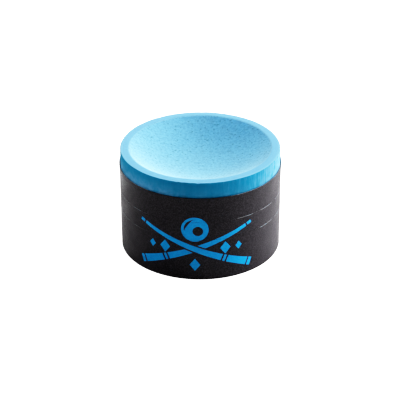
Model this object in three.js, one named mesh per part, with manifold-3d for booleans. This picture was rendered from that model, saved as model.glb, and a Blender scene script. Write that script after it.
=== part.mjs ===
// Round cue chalk: a pressed chalk puck with a dished top, in a printed paper wrap.
// Two rows of slits divide the wrap into a grip band that stays on and two strips
// that are torn off, from the top down, as the chalk wears.
// Millimetres, +Z up. The origin is the centre of the underside, where the chalk stands,
// and -Y is the front. The wrap's overlapped seam is at the back.
import * as THREE from 'three';
import { mergeVertices } from 'three/addons/utils/BufferGeometryUtils.js';
import Module from 'manifold-3d';

const wasm = await Module();
wasm.setup();

// The chalk
const CHALK_RADIUS = 15;
const CHALK_HEIGHT = 20;
const RIM_ROUNDING = 0.25; // worn outer edge of the rim
const FOOT_CHAMFER = 0.3;
const DISH_RADIUS = 13.35; // at the rim
const DISH_DEPTH = 3.6;
const DISH_CURVE = 2.4; // above 2, the dish has a flatter middle and steeper walls
const DISH_RINGS = 8;

// The paper wrap
const PAPER = 0.12; // thickness
const GLUE_LINE = 0.03; // between the paper and the chalk
const WRAP_FOOT = 0.05; // the paper ends just above the underside
const WRAP_TOP = 17;
const LOWER_SCORE = 8.4; // middle height of each row of slits
const UPPER_SCORE = 12.05;
const SLIT_WIDTH = 0.2;
const TIES = 18; // uncut paper bridges in a row of slits
const TIE_STEPS = 1; // width of a tie, in steps of STEP_DEG
const TIE_GAP = 0.02; // hairline where a tie meets the paper below it
const SEAM_STEPS = 6; // width of the seam's overlap, in steps

// All round pieces are divided alike, so that the paper follows the chalk.
const STEPS = 72;
const STEP_DEG = 360 / STEPS;
const BACK_DEG = 90;

/** Point on a circle about the Z axis; degrees run anticlockwise from +X. */
function onCircle(radius, degrees) {
  const angle = THREE.MathUtils.degToRad(degrees);
  return new THREE.Vector2(radius * Math.cos(angle), radius * Math.sin(angle));
}

/** Points along an arc that starts at fromDeg and is a whole number of steps long. */
function arc(radius, fromDeg, steps) {
  return Array.from({ length: steps + 1 }, (_, i) => onCircle(radius, fromDeg + i * STEP_DEG));
}

/** Extrudes a flat outline upwards from low to high. */
function upright(shape, low, high) {
  const geometry = new THREE.ExtrudeGeometry(shape, { depth: high - low, bevelEnabled: false });
  return geometry.translate(0, 0, low);
}

/** A closed round band of paper. */
function ring(inner, outer, low, high) {
  const shape = new THREE.Shape(arc(outer, 0, STEPS - 1));
  shape.holes.push(new THREE.Path(arc(inner, 0, STEPS - 1)));
  return upright(shape, low, high);
}

/** A piece of such a band, centred at middleDeg. */
function ringPiece(inner, outer, middleDeg, steps, low, high) {
  const fromDeg = middleDeg - (steps * STEP_DEG) / 2;
  const outline = [...arc(outer, fromDeg, steps), ...arc(inner, fromDeg, steps).reverse()];
  return upright(new THREE.Shape(outline), low, high);
}

/** Turns a closed three.js geometry into a solid that can be joined and cut. */
function toSolid(geometry) {
  const bare = geometry.index ? geometry.toNonIndexed() : geometry.clone();
  bare.deleteAttribute('normal');
  bare.deleteAttribute('uv');
  const merged = mergeVertices(bare, 1e-4);
  return new wasm.Manifold(new wasm.Mesh({
    numProp: 3,
    vertProperties: new Float32Array(merged.attributes.position.array),
    triVerts: new Uint32Array(merged.index.array),
  }));
}

/** Turns a solid back into a three.js geometry. */
function toGeometry(solid) {
  const mesh = solid.getMesh();
  const geometry = new THREE.BufferGeometry();
  geometry.setAttribute('position', new THREE.BufferAttribute(mesh.vertProperties, 3));
  geometry.setIndex(new THREE.BufferAttribute(mesh.triVerts, 1));
  geometry.computeVertexNormals();
  return geometry;
}

/** Height of the dish at a distance from the axis. */
function dishHeight(radius) {
  return CHALK_HEIGHT - DISH_DEPTH * (1 - (radius / DISH_RADIUS) ** DISH_CURVE);
}

/** The chalk: turned from a half section that runs from the foot up and over into the dish. */
function chalkGeometry() {
  const profile = [
    new THREE.Vector2(0, 0),
    new THREE.Vector2(CHALK_RADIUS - FOOT_CHAMFER, 0),
    new THREE.Vector2(CHALK_RADIUS, FOOT_CHAMFER),
    new THREE.Vector2(CHALK_RADIUS, CHALK_HEIGHT - RIM_ROUNDING),
    new THREE.Vector2(CHALK_RADIUS - 0.3 * RIM_ROUNDING, CHALK_HEIGHT - 0.3 * RIM_ROUNDING),
    new THREE.Vector2(CHALK_RADIUS - RIM_ROUNDING, CHALK_HEIGHT),
  ];
  for (let i = DISH_RINGS; i > 0; i -= 1) {
    const radius = (DISH_RADIUS * i) / DISH_RINGS;
    profile.push(new THREE.Vector2(radius, dishHeight(radius)));
  }
  profile.push(new THREE.Vector2(0, dishHeight(0)));
  return new THREE.LatheGeometry(profile, STEPS).rotateX(Math.PI / 2);
}

/** One band of the wrap, doubled at the seam, with ties below it where tieDepth is given. */
function bandGeometry(low, high, tieDepth = 0) {
  const inner = CHALK_RADIUS + GLUE_LINE;
  const outer = inner + PAPER;
  const rootHeight = (low + high) / 2; // ties and seam run into the band, so that they join it
  let band = toSolid(ring(inner, outer, low, high));
  band = band.add(toSolid(ringPiece(inner, outer + PAPER, BACK_DEG, SEAM_STEPS, low, high)));
  for (let i = 0; tieDepth > 0 && i < TIES; i += 1) {
    const middleDeg = BACK_DEG + (i * 360) / TIES + (TIE_STEPS * STEP_DEG) / 2;
    band = band.add(toSolid(ringPiece(inner, outer, middleDeg, TIE_STEPS, low - tieDepth, rootHeight)));
  }
  return toGeometry(band);
}

const CHALK_BLUE = { color: 0x5bb4e0, roughness: 0.95, metalness: 0 };
const PAPER_BLACK = { color: 0x17151a, roughness: 0.6, metalness: 0 };

function named(name, geometry, finish) {
  const mesh = new THREE.Mesh(geometry, new THREE.MeshStandardMaterial(finish));
  mesh.name = name;
  return mesh;
}

const HALF_SLIT = SLIT_WIDTH / 2;
const TIE_DEPTH = SLIT_WIDTH - TIE_GAP;

const cueChalk = new THREE.Group();
cueChalk.add(named('chalk_puck', chalkGeometry(), CHALK_BLUE));
cueChalk.add(named('grip_band', bandGeometry(WRAP_FOOT, LOWER_SCORE - HALF_SLIT), PAPER_BLACK));
cueChalk.add(named(
  'lower_tear_strip',
  bandGeometry(LOWER_SCORE + HALF_SLIT, UPPER_SCORE - HALF_SLIT, TIE_DEPTH),
  PAPER_BLACK,
));
cueChalk.add(named(
  'upper_tear_strip',
  bandGeometry(UPPER_SCORE + HALF_SLIT, WRAP_TOP, TIE_DEPTH),
  PAPER_BLACK,
));

export default cueChalk;
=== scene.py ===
import math
import random

import bpy
from mathutils import Matrix, Vector, noise
from mathutils.geometry import delaunay_2d_cdt


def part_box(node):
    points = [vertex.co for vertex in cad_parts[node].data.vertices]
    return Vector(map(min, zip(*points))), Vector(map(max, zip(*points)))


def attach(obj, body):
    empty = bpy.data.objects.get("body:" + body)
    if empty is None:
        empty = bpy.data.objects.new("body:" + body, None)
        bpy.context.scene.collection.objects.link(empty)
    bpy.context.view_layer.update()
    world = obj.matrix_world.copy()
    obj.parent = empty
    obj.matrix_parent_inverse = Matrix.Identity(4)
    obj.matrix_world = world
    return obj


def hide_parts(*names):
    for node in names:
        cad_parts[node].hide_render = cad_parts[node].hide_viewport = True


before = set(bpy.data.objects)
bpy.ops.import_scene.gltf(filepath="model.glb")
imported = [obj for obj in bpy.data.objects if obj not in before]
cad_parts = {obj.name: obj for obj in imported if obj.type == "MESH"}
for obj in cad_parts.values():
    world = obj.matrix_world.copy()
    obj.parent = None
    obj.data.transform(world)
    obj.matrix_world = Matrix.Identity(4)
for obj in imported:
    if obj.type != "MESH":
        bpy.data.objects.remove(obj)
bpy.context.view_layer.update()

# Lengths below are in millimetres, and MM turns them into the frame's metres.
# The angle round the axis, phi, is 0 at the front (-Y) and grows towards +X.
MM = 0.001


def node_box(node):
    """The lowest and highest corner of a CAD node, in millimetres."""
    return [[float(v) / MM for v in corner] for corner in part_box(node)]


# The chalk, from the frame
CHALK_RADIUS, _, CHALK_HEIGHT = node_box("chalk_puck")[1]
DISH_RADIUS = 0.89 * CHALK_RADIUS
DISH_DEPTH = 0.18 * CHALK_HEIGHT
DISH_CURVE = 2.4  # above 2, the dish has a flatter middle and steeper walls
RIM_ROUNDING = 0.15
LIP = ((0.10, 0.0), (0.045, 0.008), (0.0, 0.035))  # (outwards, down) from the dish's edge
FOOT_ROUNDING = 0.3

# The paper, from the frame
PAPER = 0.12
GLUE_LINE = 0.03
PAPER_INNER = CHALK_RADIUS + GLUE_LINE
WRAP_FOOT = node_box("grip_band")[0][2]
WRAP_TOP = node_box("upper_tear_strip")[1][2]
HALF_SLIT_CAD = 0.1
LOWER_ROW = node_box("grip_band")[1][2] + HALF_SLIT_CAD
UPPER_ROW = node_box("lower_tear_strip")[1][2] + HALF_SLIT_CAD

# ---------------------------------------------------------------- camera

CAMERA_ELEVATION = 28.582
CAMERA_DISTANCE = 271.39
CAMERA_ROLL = -0.257
CAMERA_TARGET = (-0.077, 0.0, 8.478)
CAMERA_LENS = 128.05
CAMERA_SENSOR = 36.0
CAMERA_CLIP = 10.0


def add_camera():
    """A long lens that looks along +Y and down at the chalk."""
    data = bpy.data.cameras.new("camera")
    data.sensor_width = CAMERA_SENSOR
    data.lens = CAMERA_LENS
    data.clip_start = CAMERA_CLIP * MM
    camera = bpy.data.objects.new("camera", data)
    bpy.context.scene.collection.objects.link(camera)
    tilt = math.radians(90 - CAMERA_ELEVATION)
    turn = Matrix.Rotation(tilt, 4, "X") @ Matrix.Rotation(math.radians(CAMERA_ROLL), 4, "Z")
    back = turn @ Vector((0, 0, CAMERA_DISTANCE * MM))
    camera.matrix_world = Matrix.Translation(Vector(CAMERA_TARGET) * MM + back) @ turn
    bpy.context.scene.camera = camera


add_camera()

# ---------------------------------------------------------------- node helpers


class Nodes:
    """Adds nodes to one material, with plain inputs set by name."""

    def __init__(self, name):
        self.material = bpy.data.materials.new(name)
        self.material.use_nodes = True
        self.tree = self.material.node_tree
        self.tree.nodes.clear()
        self.output = self.tree.nodes.new("ShaderNodeOutputMaterial")

    def link(self, source, target):
        self.tree.links.new(source, target)

    def add(self, kind, inputs=None, **settings):
        node = self.tree.nodes.new(kind)
        for key, value in settings.items():
            setattr(node, key, value)
        for key, value in (inputs or {}).items():
            if isinstance(value, bpy.types.NodeSocket):
                self.link(value, node.inputs[key])
            else:
                node.inputs[key].default_value = value
        return node

    def place(self):
        """Object coordinates, in millimetres."""
        coordinates = self.add("ShaderNodeTexCoord").outputs["Object"]
        scaled = self.add("ShaderNodeVectorMath", {0: coordinates}, operation="SCALE")
        scaled.inputs["Scale"].default_value = 1 / MM
        return scaled.outputs[0]

    def stretched(self, place, scale):
        return self.add("ShaderNodeVectorMath", {0: place, 1: scale}, operation="MULTIPLY").outputs[0]

    def noise(self, place, scale, detail=2.0, roughness=0.5):
        inputs = {"Vector": place, "Scale": scale, "Detail": detail, "Roughness": roughness}
        return self.add("ShaderNodeTexNoise", inputs).outputs["Fac"]

    def ramp(self, value, low, high, to_low=0.0, to_high=1.0):
        inputs = {"Value": value, "From Min": low, "From Max": high, "To Min": to_low, "To Max": to_high}
        return self.add("ShaderNodeMapRange", inputs, interpolation_type="SMOOTHSTEP").outputs[0]

    def math(self, operation, first, second=0.0):
        return self.add("ShaderNodeMath", {0: first, 1: second}, operation=operation).outputs[0]

    def mix(self, factor, first, second):
        node = self.add("ShaderNodeMix", data_type="RGBA")
        for socket, value in ((node.inputs[0], factor), (node.inputs[6], first), (node.inputs[7], second)):
            if isinstance(value, bpy.types.NodeSocket):
                self.link(value, socket)
            else:
                socket.default_value = value
        return node.outputs[2]

    def bump(self, height, strength, distance, normal=None):
        inputs = {"Height": height, "Strength": strength, "Distance": distance * MM}
        if normal is not None:
            inputs["Normal"] = normal
        return self.add("ShaderNodeBump", inputs).outputs[0]

    def surface(self, **inputs):
        """Ends the material in a Principled shader; names are its sockets with _ for a space."""
        shader = self.add("ShaderNodeBsdfPrincipled", {k.replace("_", " "): v for k, v in inputs.items()})
        self.link(shader.outputs[0], self.output.inputs["Surface"])
        return self.material


# ---------------------------------------------------------------- materials

CHALK_POWDER = (0.350, 0.72, 0.965, 1)  # freshly cut, dusty faces
CHALK_POWDER_DEEP = (0.292, 0.615, 0.845, 1)
CHALK_PORE = (0.16, 0.35, 0.44, 1)
CHALK_LIP_HIGHLIGHT = (0.46, 0.80, 1.0, 1)  # painted highlight: a paler ring along the dish's edge
CHALK_RIM = (0.262, 0.63, 0.95, 1)  # the flat rim, a little denser than the dish
CHALK_EDGE_HIGHLIGHT = (0.34, 0.74, 1.0, 1)  # painted highlight along the rim's outer edge
CHALK_PRESSED = (0.016, 0.33, 0.54, 1)  # moulded side, compacted and smooth
CHALK_PRESSED_LIGHT = (0.13, 0.47, 0.72, 1)
CHALK_PRESSED_SHADE = (0.020, 0.115, 0.19, 1)  # painted shade on the side's back half
CHALK_PAINTED_LIGHT = (0.30, 0.56, 0.80, 1)  # painted light on the side, in dust-like patches

# Noise is (cycles per millimetre, detail, roughness). A ramp is (from low, from high) and
# then, where they aren't 0 and 1, (to low, to high). A bump is (strength, distance).
POWDER_NOISE = (2.3, 3.0, 0.6)
POWDER_RAMP = (0.35, 0.62)
CLOUD_NOISE = (0.9, 3.0, 0.55)
PORE_NOISE = (2.2, 2.0, 0.55)
PORE_RAMP = (0.57, 0.73)
PORE_STRENGTH = 0.7
CHALK_BUMP = (0.75, 0.05)

# Ramps of the distance from the axis
LIP_RAMP = (DISH_RADIUS - 0.2, DISH_RADIUS, 0.0, 0.15)
RIM_RAMP = (DISH_RADIUS, DISH_RADIUS + 0.1, 0.0, 0.85)
EDGE_RAMP = (CHALK_RADIUS - 0.6, CHALK_RADIUS - 0.25, 0.0, 0.6)
SIDE_RAMP = (CHALK_RADIUS - 0.11, CHALK_RADIUS - 0.04)

# The side's drag marks, scratches, and painted light and shade. A ramp that ends in X, Y or Z is of that
# coordinate.
MARK_NOISE = (2.6, 3.0, 0.65)
MARK_STRETCH = (1.0, 1.0, 0.10)
MARK_RAMP = (0.42, 0.72)
# Drag marks paler towards +X: partly real marks, partly painted light on the lit side.
MARK_AND_LIGHT_RAMP_X = (1.0, 12.0, 0.12, 0.9)
SCRATCH_NOISE = (3.4, 2.0, 0.6)
SCRATCH_STRETCH = (1.0, 1.0, 0.06)
SCRATCH_RAMP = (0.50, 0.66)
SCRATCH_RAMP_X = (1.0, 8.0, 0.0, 0.5)
# Painted light: the side paler low down and towards the left, fading out towards the rim.
LEFT_FILL_RAMP_Z = (WRAP_TOP - 0.1, CHALK_HEIGHT - 0.3, 0.6, 0.05)
LEFT_FILL_RAMP_X = (-9.0, -1.0, 1.0, 0.3)
# Painted highlight: the side paler towards its right end.
END_HIGHLIGHT_RAMP_X = (9.0, CHALK_RADIUS, 0.0, 0.75)
END_HIGHLIGHT_RAMP_Y = (-4.0, 1.0, 1.0, 0.0)
DUST_RAMP = (0.3, 0.65, 0.4, 1.0)
# Painted shade: the side darker towards its back half (+Y).
SHADED_BACK_RAMP_Y = (-3.0, 3.0, 0.0, 0.9)


def chalk_material():
    """Fine-grained pressed chalk: pale and dusty on top, denser with drag marks on the side; painted
    highlights on the dish's lip and the rim's edge, and painted light and shade on the side.
    """
    n = Nodes("pressed_chalk")
    place = n.place()
    x, y, z = n.add("ShaderNodeSeparateXYZ", {0: place}).outputs
    across = n.add("ShaderNodeCombineXYZ", {0: x, 1: y}).outputs[0]
    radius = n.add("ShaderNodeVectorMath", {0: across}, operation="LENGTH").outputs["Value"]

    fine = n.noise(place, *POWDER_NOISE)
    coarse = n.noise(place, *CLOUD_NOISE)
    pores = n.ramp(n.noise(place, *PORE_NOISE), *PORE_RAMP)
    powder = n.mix(n.ramp(fine, *POWDER_RAMP), CHALK_POWDER_DEEP, CHALK_POWDER)
    powder = n.mix(n.math("MULTIPLY", pores, PORE_STRENGTH), powder, CHALK_PORE)
    # A paler ring just inside the dish's edge: painted highlight.
    powder = n.mix(n.ramp(radius, *LIP_RAMP), powder, CHALK_LIP_HIGHLIGHT)
    powder = n.mix(n.ramp(radius, *RIM_RAMP), powder, CHALK_RIM)
    # A paler band along the rim's outer edge: painted highlight.
    powder = n.mix(n.ramp(radius, *EDGE_RAMP), powder, CHALK_EDGE_HIGHLIGHT)

    # The side: drag marks that grow paler towards +X, partly painted light on the lit right;
    # painted light low on the left, a painted highlight at the right end, fine scratches, and painted shade
    # at the back.
    streaks = n.ramp(n.noise(n.stretched(place, MARK_STRETCH), *MARK_NOISE), *MARK_RAMP)
    # Drag marks, and painted light: they grow paler towards the lit right side.
    marks = n.math("MULTIPLY", streaks, n.ramp(x, *MARK_AND_LIGHT_RAMP_X))
    pressed = n.mix(marks, CHALK_PRESSED, CHALK_PRESSED_LIGHT)
    # Painted light, low down on the left
    left_fill_light = n.math("MULTIPLY", n.ramp(z, *LEFT_FILL_RAMP_Z), n.ramp(x, *LEFT_FILL_RAMP_X))
    # Painted highlight at the lit right end
    end_highlight = n.math("MULTIPLY", n.ramp(x, *END_HIGHLIGHT_RAMP_X), n.ramp(y, *END_HIGHLIGHT_RAMP_Y))
    # The dust mask holds the painted light of both, broken into dust-like patches.
    dust = n.math("MULTIPLY", n.math("ADD", left_fill_light, end_highlight), n.ramp(coarse, *DUST_RAMP))
    pressed = n.mix(dust, pressed, CHALK_PAINTED_LIGHT)
    lines = n.ramp(n.noise(n.stretched(place, SCRATCH_STRETCH), *SCRATCH_NOISE), *SCRATCH_RAMP)
    scratches = n.math("MULTIPLY", lines, n.ramp(x, *SCRATCH_RAMP_X))
    pressed = n.mix(scratches, pressed, CHALK_PRESSED)
    # Painted shade on the side's back half.
    pressed = n.mix(n.ramp(y, *SHADED_BACK_RAMP_Y), pressed, CHALK_PRESSED_SHADE)

    colour = n.mix(n.ramp(radius, *SIDE_RAMP), powder, pressed)
    height = n.math("ADD", n.math("MULTIPLY", fine, 0.7), n.math("MULTIPLY", coarse, 0.6))
    height = n.math("SUBTRACT", height, n.math("MULTIPLY", pores, 0.35))
    normal = n.bump(height, *CHALK_BUMP)
    return n.surface(
        Base_Color=colour, Roughness=0.9, Diffuse_Roughness=1.0, Specular_IOR_Level=0.2, Normal=normal
    )


MOTTLE_NOISE = (4.2, 2.0, 0.6)
MOTTLE_RAMP = (0.38, 0.68)
SHEEN_NOISE = (0.35, 2.0, 0.5)
SHEEN_SPREAD = 0.12
FIBRE_NOISE = (6.5, 2.0, 0.6)
FIBRE_STRETCH = (1.0, 1.0, 0.55)
PAPER_BUMP = (0.8, 0.07)
BARE_FIBRE_NOISE = (6.0, 3.0, 0.65)
BARE_FIBRE_RAMP = (0.35, 0.7)
BARE_DUST_NOISE = (2.2, 3.0, 0.65)
BARE_DUST_RAMP = (0.45, 0.75, 0.0, 0.45)
BARE_BUMP = (0.4, 0.03)


def paper_material(name, base, light, roughness):
    """Coated label paper with a fine mottle in its colour, sheen and surface."""
    n = Nodes(name)
    place = n.place()
    mottle = n.noise(place, *MOTTLE_NOISE)
    cloud = n.noise(place, *SHEEN_NOISE)
    fibre = n.noise(n.stretched(place, FIBRE_STRETCH), *FIBRE_NOISE)
    colour = n.mix(n.ramp(mottle, *MOTTLE_RAMP), base, light)
    sheen = n.math("ADD", mottle, n.math("MULTIPLY", cloud, 0.5))
    sheen = n.ramp(sheen, 0.5, 1.0, roughness - SHEEN_SPREAD, roughness + SHEEN_SPREAD)
    height = n.math("ADD", n.math("MULTIPLY", mottle, 0.7), n.math("MULTIPLY", fibre, 0.3))
    normal = n.bump(height, *PAPER_BUMP)
    return n.surface(Base_Color=colour, Roughness=sheen, Specular_IOR_Level=0.30, Normal=normal)


def bare_paper_material(name, base, light):
    """Uncoated paper: the cut edges, and the glued inner face with its blue dust."""
    n = Nodes(name)
    place = n.place()
    fibre = n.noise(place, *BARE_FIBRE_NOISE)
    dust = n.noise(place, *BARE_DUST_NOISE)
    colour = n.mix(n.ramp(fibre, *BARE_FIBRE_RAMP), base, light)
    colour = n.mix(n.ramp(dust, *BARE_DUST_RAMP), colour, CHALK_POWDER_DEEP)
    return n.surface(Base_Color=colour, Roughness=0.85, Normal=n.bump(fibre, *BARE_BUMP))


PAPER_BLACK = (0.0150, 0.0132, 0.0165, 1)
PAPER_BLACK_LIGHT = (0.046, 0.040, 0.0485, 1)
INK_BLUE = (0.001, 0.300, 0.66, 1)
INK_BLUE_LIGHT = (0.004, 0.370, 0.74, 1)
CORE_GREY = (0.17, 0.175, 0.18, 1)
CORE_LIGHT = (0.29, 0.295, 0.30, 1)
BACKING = (0.33, 0.32, 0.30, 1)
BACKING_LIGHT = (0.42, 0.41, 0.385, 1)

CHALK = chalk_material()
WRAP_FACES = [
    paper_material("printed_paper", PAPER_BLACK, PAPER_BLACK_LIGHT, 0.42),
    paper_material("printed_ink", INK_BLUE, INK_BLUE_LIGHT, 0.45),
    bare_paper_material("paper_edge", CORE_GREY, CORE_LIGHT),
    bare_paper_material("paper_backing", BACKING, BACKING_LIGHT),
]
BLACK, INK, CORE, BACK = range(4)

# ---------------------------------------------------------------- mesh helpers


def make_piece(name, corners, faces, materials, body, node, slots=None, sharp=()):
    """A smooth-shaded mesh object that replaces a CAD node and rides on its body."""
    mesh = bpy.data.meshes.new(name)
    mesh.from_pydata([Vector(c) * MM for c in corners], [], faces)
    mesh.polygons.foreach_set("use_smooth", [True] * len(mesh.polygons))
    if slots is not None:
        mesh.polygons.foreach_set("material_index", slots)
    if sharp:
        wanted = {tuple(sorted(pair)) for pair in sharp}
        flags = mesh.attributes.new("sharp_edge", "BOOLEAN", "EDGE")
        flags.data.foreach_set("value", [tuple(sorted(e.vertices)) in wanted for e in mesh.edges])
    for material in materials:
        mesh.materials.append(material)
    mesh.validate()
    piece = bpy.data.objects.new(name, mesh)
    bpy.context.scene.collection.objects.link(piece)
    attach(piece, body)
    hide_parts(node)
    return piece


def ease(value, low, high):
    """0 up to low, 1 from high on, and a smooth rise between."""
    t = min(1.0, max(0.0, (value - low) / (high - low)))
    return t * t * (3 - 2 * t)


def on_cylinder(radius, phi, height):
    return (radius * math.sin(phi), -radius * math.cos(phi), height)


# ---------------------------------------------------------------- the chalk

RIM_CHIPS = 90
CHIP_SEED = 11
CHIP_HALF_WIDTH = (0.12, 0.4)
CHIP_DEPTH = (0.004, 0.028)  # the least, and what the deepest one adds
DISH_PITS = 170
PIT_SEED = 5
PIT_HALF_WIDTH = (0.12, 0.3)
PIT_DEPTH = (0.02, 0.06)

# Relief of the pressed surface
GRAIN = ((0.010, 2.1), (0.006, 4.3))  # (height, cycles per millimetre)
DRAG_DEPTH = 0.012
DRAG_CYCLES = 2.4
DRAG_STRETCH = 0.08
SIDE_INSET = 0.008
UNEVENNESS = 0.03
UNEVEN_CYCLES = 0.25
CRUMBLE = 0.010
CRUMBLE_CYCLES = 1.7
CRUMBLE_REACH = 0.25
CHIP_REACH = 0.3
EDGE_ZONE = 0.9  # how far from the outer edge crumbling is worked out

# Distances between the mesh's corners
BASE_STEP = 0.8
FOOT_STEP = 0.4
SIDE_STEP = 0.25
TOP_STEP = 0.2
DISH_STEP = 0.18
DISH_START = 0.06  # from the dish's edge to its first ring


def dish_height(radius):
    return CHALK_HEIGHT - DISH_DEPTH * (1 - (radius / DISH_RADIUS) ** DISH_CURVE)


def steps(start, end, size):
    """Evenly spaced values from start towards end, without end."""
    count = max(1, round(abs(end - start) / size))
    return [start + (end - start) * i / count for i in range(count)]


def corner(centre, radius, start, end, count):
    """Stations on a rounded corner, from one angle in degrees to another."""
    angles = [math.radians(start + (end - start) * i / count) for i in range(count + 1)]
    return [(centre[0] + radius * math.cos(a), centre[1] + radius * math.sin(a)) for a in angles]


def chalk_stations():
    """The half section as (radius, height, spacing round the ring)."""
    covered = WRAP_TOP - 1.0
    stations = [(r, 0.0, BASE_STEP) for r in steps(0.0, CHALK_RADIUS - FOOT_ROUNDING, BASE_STEP)]
    foot = (CHALK_RADIUS - FOOT_ROUNDING, FOOT_ROUNDING)
    stations += [(r, z, FOOT_STEP) for r, z in corner(foot, FOOT_ROUNDING, -90, 0, 4)]
    covered_steps = steps(FOOT_ROUNDING + 2 * SIDE_STEP, covered, 2 * SIDE_STEP)
    stations += [(CHALK_RADIUS, z, SIDE_STEP) for z in covered_steps]
    rim = (CHALK_RADIUS - RIM_ROUNDING, CHALK_HEIGHT - RIM_ROUNDING)
    stations += [(CHALK_RADIUS, z, TOP_STEP) for z in steps(covered, rim[1], TOP_STEP)]
    stations += [(r, z, TOP_STEP) for r, z in corner(rim, RIM_ROUNDING, 0, 90, 5)]
    rim_steps = steps(rim[0] - TOP_STEP, DISH_RADIUS + TOP_STEP, TOP_STEP)
    stations += [(r, CHALK_HEIGHT, TOP_STEP) for r in rim_steps]
    stations += [(DISH_RADIUS + across, CHALK_HEIGHT - down, TOP_STEP) for across, down in LIP]
    dish_steps = steps(DISH_RADIUS - DISH_START, 0.0, DISH_STEP)
    stations += [(r, dish_height(r), DISH_STEP) for r in dish_steps]
    stations += [(0.0, dish_height(0.0), DISH_STEP)]
    return stations


def chip_list():
    """Small crumbled places on the rim's outer edge: (phi, half width, depth)."""
    draw = random.Random(CHIP_SEED)
    return [
        (
            draw.uniform(-math.pi, math.pi),
            draw.uniform(*CHIP_HALF_WIDTH),
            CHIP_DEPTH[0] + CHIP_DEPTH[1] * draw.random() ** 3,
        )
        for _ in range(RIM_CHIPS)
    ]


def pit_list():
    """Small open pores in the dish: (x, y, half width, depth)."""
    draw = random.Random(PIT_SEED)
    pits = []
    for _ in range(DISH_PITS):
        radius = DISH_RADIUS * math.sqrt(draw.random())
        phi = draw.uniform(-math.pi, math.pi)
        x, y = radius * math.sin(phi), -radius * math.cos(phi)
        pits.append((x, y, draw.uniform(*PIT_HALF_WIDTH), draw.uniform(*PIT_DEPTH)))
    return pits


def chalk_offset(radius, phi, height, chips):
    """How far the real surface lies off the ideal one: (outwards, upwards)."""
    here = Vector(on_cylinder(radius, phi, height))
    grain = sum(size * noise.noise(here * cycles) for size, cycles in GRAIN)
    outwards = upwards = 0.0
    if radius > CHALK_RADIUS - 0.05:
        drag = Vector((here.x, here.y, here.z * DRAG_STRETCH))
        outwards = DRAG_DEPTH * noise.noise(drag * DRAG_CYCLES) + 0.4 * grain - SIDE_INSET
    elif height > 1.0:
        upwards = grain + UNEVENNESS * noise.noise(here * UNEVEN_CYCLES)
    edge = math.hypot(radius - CHALK_RADIUS, height - CHALK_HEIGHT)
    if edge < EDGE_ZONE:
        rough = max(0.0, noise.noise(here * CRUMBLE_CYCLES))
        crumble = CRUMBLE * rough * math.exp(-((edge / CRUMBLE_REACH) ** 2))
        for place, width, depth in chips:
            away = (phi - place + math.pi) % (2 * math.pi) - math.pi
            if abs(away) * CHALK_RADIUS < 3 * width:
                along = math.exp(-((away * CHALK_RADIUS / width) ** 2))
                crumble += depth * along * math.exp(-((edge / CHIP_REACH) ** 2))
        outwards -= crumble
        upwards -= crumble
    return outwards, upwards


def zip_rings(faces, low, low_count, high, high_count):
    """Joins two rings of corners, each starting at phi 0, with triangles."""
    if low_count == 1 or high_count == 1:
        centre, ring, count = (low, high, high_count) if low_count == 1 else (high, low, low_count)
        for i in range(count):
            pair = (ring + i, ring + (i + 1) % count)
            faces.append((centre, *pair[::-1]) if low_count == 1 else (centre, *pair))
        return
    i = j = 0
    while i < low_count or j < high_count:
        a, b = low + i % low_count, high + j % high_count
        if j == high_count or (i < low_count and (i + 1) * high_count <= (j + 1) * low_count):
            faces.append((a, low + (i + 1) % low_count, b))
            i += 1
        else:
            faces.append((a, high + (j + 1) % high_count, b))
            j += 1


def add_chalk():
    chips = chip_list()
    corners, faces, rings = [], [], []
    for radius, height, spacing in chalk_stations():
        count = max(8, round(2 * math.pi * radius / spacing)) if radius > 0.01 else 1
        rings.append((len(corners), count))
        for i in range(count):
            phi = 2 * math.pi * i / count
            outwards, upwards = chalk_offset(radius, phi, height, chips)
            if count == 1:
                outwards = 0.0
            corners.append(on_cylinder(radius + outwards, phi, height + upwards))
    for x, y, width, depth in pit_list():
        for index, (cx, cy, cz) in enumerate(corners):
            if cz > WRAP_TOP - 2 and abs(cx - x) < 2 * width and abs(cy - y) < 2 * width:
                away = ((cx - x) ** 2 + (cy - y) ** 2) / width**2
                corners[index] = (cx, cy, cz - depth * math.exp(-2 * away))
    for (low, low_count), (high, high_count) in zip(rings, rings[1:]):
        zip_rings(faces, low, low_count, high, high_count)
    make_piece("chalk_block", corners, faces, [CHALK], "puck", "chalk_puck")


add_chalk()

# ---------------------------------------------------------------- the printed emblem

# Crossed cues, a ball over them and rail diamonds: flat outlines in millimetres round
# the point where the cues cross. Later outlines lie over earlier ones.
EMBLEM_PHI = -4.0
EMBLEM_HEIGHT = 6.5
CUE_SLOPES = (21.5, 158.5)
CUE_PARTS = ((-11.6, -10.9), (-10.6, -6.4), (-6.1, -5.6), (-5.3, 10.4), (10.7, 11.6))
CUE_HALF_LENGTH = 11.6
CUE_BUTT, CUE_TIP = 0.80, 0.30  # half widths
CROSSING = 2.6  # half length of the black line that parts one cue from the other
CROSSING_MARGIN = 0.3
BALL_CENTRE = (0, 4.1)
BALL_RADIUS = 2.5
BALL_MARGIN = 0.35
SPOT_OFFSET = (0.55, -0.35)
SPOT_RADIUS = 0.95
DIAMONDS = ((5.6, 1.0, 1.3), (8.2, 0.65, 0.85))  # (distance, half width, half height) at both sides
LOW_DIAMOND = ((0, -3.3), 1.0, 1.3)


def circle(centre, radius, count=48):
    angles = [2 * math.pi * i / count for i in range(count)]
    return [(centre[0] + radius * math.cos(a), centre[1] + radius * math.sin(a)) for a in angles]


def diamond(centre, half_width, half_height):
    x, y = centre
    return [(x - half_width, y), (x, y - half_height), (x + half_width, y), (x, y + half_height)]


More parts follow.
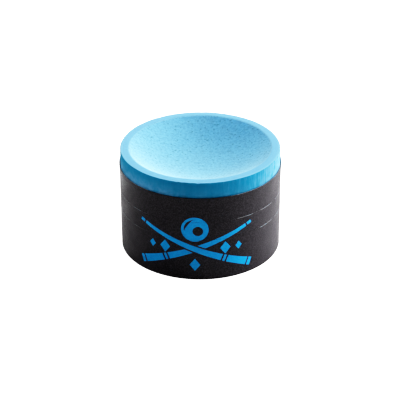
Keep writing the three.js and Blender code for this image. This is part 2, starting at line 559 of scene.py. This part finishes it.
def cue_section(slope, start, end, margin=0.0):
    """Part of a cue through the emblem's centre, between two distances along it."""
    direction = Vector((math.cos(slope), math.sin(slope)))
    side = Vector((-direction.y, direction.x))
    outline = []
    for along, sign in ((start, -1), (end, -1), (end, 1), (start, 1)):
        taper = (CUE_TIP - CUE_BUTT) * (along + CUE_HALF_LENGTH) / (2 * CUE_HALF_LENGTH)
        width = CUE_BUTT + taper + margin
        point = direction * along + side * width * sign
        outline.append((point.x, point.y))
    return outline


def crescent(centre, radius, start, end, thickness, count=14):
    """A highlight inside a ball: an arc that is thick in its middle and thin at its ends."""
    outer, inner = [], []
    for i in range(count + 1):
        angle = math.radians(start + (end - start) * i / count)
        depth = 0.04 + thickness * math.sin(math.pi * i / count)
        for reach, points in ((radius, outer), (radius - depth, inner)):
            points.append((centre[0] + reach * math.cos(angle), centre[1] + reach * math.sin(angle)))
    return outer + inner[::-1]


def emblem():
    """The emblem as [(material, outline)], from the bottom layer up."""
    layers = []
    for slope in map(math.radians, CUE_SLOPES):
        layers.append((BLACK, cue_section(slope, -CROSSING, CROSSING, CROSSING_MARGIN)))
        layers += [(INK, cue_section(slope, *part)) for part in CUE_PARTS]
    layers.append((BLACK, circle(BALL_CENTRE, BALL_RADIUS + BALL_MARGIN)))
    layers.append((INK, circle(BALL_CENTRE, BALL_RADIUS)))
    spot = (BALL_CENTRE[0] + SPOT_OFFSET[0], BALL_CENTRE[1] + SPOT_OFFSET[1])
    layers.append((BLACK, circle(spot, SPOT_RADIUS, 28)))
    layers.append((BLACK, crescent(BALL_CENTRE, BALL_RADIUS - 0.5, 100, 190, 0.42)))
    for side in (-1, 1):
        layers += [(INK, diamond((side * x, 0), *halves)) for x, *halves in DIAMONDS]
    layers.append((INK, diamond(*LOW_DIAMOND)))
    centre = math.radians(EMBLEM_PHI) * PAPER_INNER
    return [(kind, [(x + centre, y + EMBLEM_HEIGHT) for x, y in outline]) for kind, outline in layers]


# ---------------------------------------------------------------- the paper wrap

SHEET_END = 195.0  # degrees; the sheet's two ends overlap by 30 degrees at the back
TIE_FIRST = 2.5  # a tie is centred here, and every 20 degrees from it
TIE_SPACING = 20.0
TIE_HALF = 2.1
SLIT = 0.03
HAIRLINE = 0.01  # left below a tie
GRID = 0.45  # spacing of the sheet's inner corners
GRID_MARGIN = 0.08
LONGEST_EDGE = 0.4

# Some slits stand open, and pale strips lie beside them: partly the paper's core showing, partly a painted
# highlight, wider on the lit right.
CLOSED = {LOWER_ROW: (-37.5, 42.5), UPPER_ROW: (-37.5, 22.5)}  # degrees; still tight here
CLOSED_FADE = 4.0
PALE_STRIP_WIDTH = 0.070  # greatest width of a pale strip
PALE_STRIP_SEED = 23
PALE_STRIP_RIGHT, PALE_STRIP_LEFT = 0.9, 0.35  # shares of that width at the two sides of the front; the wider right share is painted highlight
PALE_STRIP_SHORT, PALE_STRIP_SHORTER = 2.5, 9.0  # degrees that a pale strip may stop short of its slit's end

# How far the sheet stands off the chalk
WAVE_HEIGHT, WAVE_CYCLES = 0.022, 1.3
RIPPLE_HEIGHT, RIPPLE_CYCLES = 0.012, 1.7
OVERLAP = (159.0, 164.6)  # degrees over which one end climbs onto the other
OVERLAP_GAP = 0.045
LOOSE_END, LOOSE_HEIGHT = 190.0, 0.05  # where the outer end lifts, and how far
FLARE, FLARE_DEPTH = 0.11, 2.4  # the top edge stands open
LIP_ABOVE, LIP_BELOW = 0.030, 0.018  # raised edges of an open slit
LIP_REACH, LIP_ZONE = 0.22, 0.6
LIP_RAMP_LENGTH = 1.2  # degrees
CLOSED_SHARE = 0.9  # of a lip's height that a closed slit lacks


def along_sheet(degrees):
    return math.radians(degrees) * PAPER_INNER


def tie_ranges():
    """The uncut bridges of a row of slits, as (start, end) in degrees, from left to right."""
    first = math.ceil((-SHEET_END - TIE_FIRST) / TIE_SPACING)
    middles = [TIE_FIRST + TIE_SPACING * k for k in range(first, first + 20)]
    return [(m - TIE_HALF, m + TIE_HALF) for m in middles if -SHEET_END + 3 < m < SHEET_END - 3]


def slit_ranges():
    ties = tie_ranges()
    starts = [-SHEET_END] + [end for _, end in ties]
    ends = [start for start, _ in ties] + [SHEET_END]
    return list(zip(starts, ends))


SLITS = slit_ranges()


def between(value, low, high, inside, outside):
    """1 between low and high, easing to 0 over the given lengths inside or outside them."""
    rise = ease(value, low - outside, low + inside)
    return rise * ease(-value, -high - outside, -high + inside)


def paper_radius(phi, height):
    """Radius of the sheet's inner face. phi is in radians and counts on past the back."""
    degrees = math.degrees(phi)
    round_the_chalk = Vector((2.2 * math.cos(phi), 2.2 * math.sin(phi), 0.12 * height))
    waves = 0.5 + 0.5 * noise.noise(round_the_chalk * WAVE_CYCLES)
    on_the_sheet = Vector(on_cylinder(4.0, phi, 0.25 * height))
    ripple = 0.5 + 0.5 * noise.noise(on_the_sheet * RIPPLE_CYCLES)
    radius = PAPER_INNER + WAVE_HEIGHT * waves + RIPPLE_HEIGHT * ripple
    radius += (PAPER + OVERLAP_GAP) * ease(degrees, *OVERLAP)
    radius += LOOSE_HEIGHT * ease(degrees, LOOSE_END, SHEET_END)
    radius += FLARE * ease(height, WRAP_TOP - FLARE_DEPTH, WRAP_TOP) * (0.55 + 0.45 * waves)
    for row, (first, last) in CLOSED.items():
        away = abs(height - row)
        if away < LIP_ZONE:
            cut = max(between(degrees, start, end, LIP_RAMP_LENGTH, 0.0) for start, end in SLITS)
            tight = between(degrees, first, last, 0.0, CLOSED_FADE)
            lift = (LIP_ABOVE if height > row else LIP_BELOW) * (1 - CLOSED_SHARE * tight)
            radius += lift * cut * math.exp(-((away / LIP_REACH) ** 2))
    return radius


def band_outline(low, high, has_ties):
    """The flat outline of one band, anticlockwise, with ties hanging from its lower edge."""
    bottom = [(-SHEET_END, low)]
    if has_ties:
        for start, end in tie_ranges():
            foot = low - SLIT + HAIRLINE
            bottom += [(start, low), (start, foot), (end, foot), (end, low)]
    bottom.append((SHEET_END, low))
    outline = bottom + [(SHEET_END, high), (-SHEET_END, high)]
    return [(along_sheet(degrees), height) for degrees, height in outline]


def is_closed(x, height):
    """Whether the slit nearest to a point of the sheet is still tight, with ink over its edges."""
    first, last = CLOSED[min(CLOSED, key=lambda row: abs(row - height))]
    return along_sheet(first) < x < along_sheet(last)


def scuffs_and_highlights(low, high, cut_below, cut_above):
    """Thin pale strips beside the open slits: the core where the print has cracked off the cut edge, and a
    painted highlight, wider on the lit right.
    """
    draw = random.Random(PALE_STRIP_SEED)
    strips = []
    for start, end in SLITS:
        left = along_sheet(start + draw.uniform(0.0, PALE_STRIP_SHORT))
        right = along_sheet(end - draw.uniform(0.0, PALE_STRIP_SHORT if start > 0 else PALE_STRIP_SHORTER))
        # The wider share on the right is painted highlight.
        width = PALE_STRIP_WIDTH * draw.uniform(0.5, 1.0) * (PALE_STRIP_RIGHT if start > 0 else PALE_STRIP_LEFT)
        middle = (left + right) / 2
        spans = [(low, low + width)] if cut_below and not is_closed(middle, low) else []
        if cut_above and not is_closed(middle, high):
            spans.append((high - width, high))
        for foot, top in spans:
            strips.append((CORE, [(left, foot), (right, foot), (right, top), (left, top)]))
    return strips


def grid_points(low, high):
    """Points inside a band, so that its triangles follow the curve of the chalk."""
    rows = max(2, round((high - low) / GRID))
    columns = round(2 * along_sheet(SHEET_END) / GRID)
    points = []
    for row in range(rows + 1):
        height = low + GRID_MARGIN + (high - low - 2 * GRID_MARGIN) * row / rows
        shift = 0.5 * (row % 2)
        for column in range(columns):
            points.append((along_sheet(SHEET_END) * (2 * (column + 0.25 + shift) / columns - 1), height))
    return points


def divided(outline):
    """The outline with its long edges divided, so that it bends with the sheet."""
    points = []
    for (x, y), (next_x, next_y) in zip(outline, outline[1:] + outline[:1]):
        count = max(1, math.ceil(math.hypot(next_x - x, next_y - y) / LONGEST_EDGE))
        points += [(x + (next_x - x) * i / count, y + (next_y - y) * i / count) for i in range(count)]
    return points


def cut_sheet(outline, layers, low, high):
    """Triangles of the flat band and the material of each, cut along every outline."""
    corners, faces = [], []
    for polygon in [divided(shape) for _, shape in [(BLACK, outline)] + layers]:
        faces.append(list(range(len(corners), len(corners) + len(polygon))))
        corners += [Vector(p) for p in polygon]
    corners += [Vector(p) for p in grid_points(low, high)]
    points, _, triangles, _, _, origins = delaunay_2d_cdt(corners, [], faces, 1, 1e-5)
    kept, kinds = [], []
    for triangle, origin in zip(triangles, origins):
        if 0 in origin:
            top = max(origin)
            kept.append(tuple(triangle))
            kinds.append(BLACK if top == 0 else layers[top - 1][0])
    return points, kept, kinds


def add_band(name, node, body, low, high, cut_below, cut_above):
    """One band of the wrap as a closed sheet with printed, cut and glued faces."""
    outline = band_outline(low, high, cut_below)
    layers = scuffs_and_highlights(low, high, cut_below, cut_above)
    for kind, shape in emblem():
        heights = [y for _, y in shape]
        if max(heights) > low and min(heights) < high:
            layers.append((kind, shape))
    points, triangles, kinds = cut_sheet(outline, layers, low, high)
    used = sorted({index for triangle in triangles for index in triangle})
    fresh = {old: new for new, old in enumerate(used)}
    triangles = [tuple(fresh[i] for i in triangle) for triangle in triangles]
    count = len(used)
    outer, inner = [], []
    for index in used:
        x, height = points[index]
        phi = x / PAPER_INNER
        radius = paper_radius(phi, height)
        outer.append(on_cylinder(radius + PAPER, phi, height))
        inner.append(on_cylinder(radius, phi, height))
    edges = {}
    for a, b, c in triangles:
        for pair in ((a, b), (b, c), (c, a)):
            edges[pair] = True
    rim = [(a, b) for a, b in edges if (b, a) not in edges]
    faces = list(triangles)
    faces += [(c + count, b + count, a + count) for a, b, c in triangles]
    faces += [(b, a, a + count, b + count) for a, b in rim]
    edge = [BLACK if is_closed(*points[used[a]]) else CORE for a, _ in rim]
    slots = kinds + [BACK] * len(triangles) + edge
    sharp = rim + [(a + count, b + count) for a, b in rim]
    make_piece(name, outer + inner, faces, WRAP_FACES, body, node, slots, sharp)


HALF = SLIT / 2
STRIP_LOW, STRIP_HIGH = LOWER_ROW + HALF, UPPER_ROW - HALF
add_band("grip_band_paper", "grip_band", "puck", WRAP_FOOT, LOWER_ROW - HALF, False, True)
add_band("lower_strip_paper", "lower_tear_strip", "lower_strip", STRIP_LOW, STRIP_HIGH, True, True)
add_band("upper_strip_paper", "upper_tear_strip", "upper_strip", UPPER_ROW + HALF, WRAP_TOP, True, False)

# ---------------------------------------------------------------- floor, light and colour

# The floor's glow and the world's white are for the camera only, so that the lamps shape
# the light.
FLOOR_HALF = 4.0  # metres
FLOOR_WHITE = 0.80
FLOOR_GLOW = 0.97
AMBIENT = 0.0
LAMP_DISTANCE = 0.5  # metres, as are the two below
LAMP_SIZE = 0.25
LAMP_AIM = (0, 0, 0.012)
CONTRAST = 1.85
MIDDLE_GREY = 0.385
CURVE_STEPS = 24
CURVE_SPREAD = 1.5  # above 1, more of the curve's points lie in the dark part


def camera_switch(n, seen, unseen):
    """A shader that is one thing to the camera and another to every other ray."""
    camera_ray = n.add("ShaderNodeLightPath").outputs["Is Camera Ray"]
    return n.add("ShaderNodeMixShader", {0: camera_ray, 1: unseen, 2: seen}).outputs[0]


def add_floor():
    n = Nodes("pale_floor")
    plain = n.add("ShaderNodeBsdfDiffuse", {"Color": (FLOOR_WHITE, FLOOR_WHITE, FLOOR_WHITE, 1)}).outputs[0]
    glow = n.add("ShaderNodeEmission", {"Strength": FLOOR_GLOW}).outputs[0]
    lit = n.add("ShaderNodeAddShader", {0: plain, 1: glow}).outputs[0]
    n.link(camera_switch(n, lit, plain), n.output.inputs["Surface"])
    mesh = bpy.data.meshes.new("floor")
    corners = [(x * FLOOR_HALF, y * FLOOR_HALF, 0) for x, y in ((-1, -1), (1, -1), (1, 1), (-1, 1))]
    mesh.from_pydata(corners, [], [(0, 1, 2, 3)])
    mesh.materials.append(n.material)
    floor = bpy.data.objects.new("floor", mesh)
    bpy.context.scene.collection.objects.link(floor)


def add_world():
    world = bpy.data.worlds.new("studio")
    world.use_nodes = True
    tree = world.node_tree
    unseen = tree.nodes["Background"]
    unseen.inputs["Strength"].default_value = AMBIENT
    seen = tree.nodes.new("ShaderNodeBackground")
    for background in (unseen, seen):
        background.inputs["Color"].default_value = (1, 1, 1, 1)
    switch = tree.nodes.new("ShaderNodeMixShader")
    tree.links.new(tree.nodes.new("ShaderNodeLightPath").outputs["Is Camera Ray"], switch.inputs[0])
    tree.links.new(unseen.outputs[0], switch.inputs[1])
    tree.links.new(seen.outputs[0], switch.inputs[2])
    tree.links.new(switch.outputs[0], tree.nodes["World Output"].inputs["Surface"])
    bpy.context.scene.world = world


def add_lamp(name, azimuth, elevation, power):
    """A soft square lamp aimed at the chalk. Azimuth is from +X towards +Y, in degrees."""
    a, e = math.radians(azimuth), math.radians(elevation)
    direction = Vector((math.cos(a) * math.cos(e), math.sin(a) * math.cos(e), math.sin(e)))
    data = bpy.data.lights.new(name, "AREA")
    data.size = LAMP_SIZE
    data.energy = power
    lamp = bpy.data.objects.new(name, data)
    lamp.location = direction * LAMP_DISTANCE + Vector(LAMP_AIM)
    lamp.rotation_euler = direction.to_track_quat("Z", "Y").to_euler()
    bpy.context.scene.collection.objects.link(lamp)


def set_contrast():
    """A plain S-shaped tone curve: steeper in the middle, with soft ends."""
    view = bpy.context.scene.view_settings
    view.view_transform = "Standard"
    view.use_curve_mapping = True
    curve = view.curve_mapping.curves[3]
    for step in range(1, CURVE_STEPS):
        x = (step / CURVE_STEPS) ** CURVE_SPREAD
        y = (1 + MIDDLE_GREY**CONTRAST) * x**CONTRAST / (x**CONTRAST + MIDDLE_GREY**CONTRAST)
        curve.points.new(x, y)
    view.curve_mapping.update()


add_floor()
add_world()
add_lamp("right_low", 22, 12, 3.1)
add_lamp("right_middle", 25, 24, 1.8)
add_lamp("right_rake", 0, 4, 1.6)
add_lamp("back_low", 90, 16, 3.1)
add_lamp("left_high", 170, 30, 0.78)
add_lamp("front_top", 270, 70, 0.50)
set_contrast()
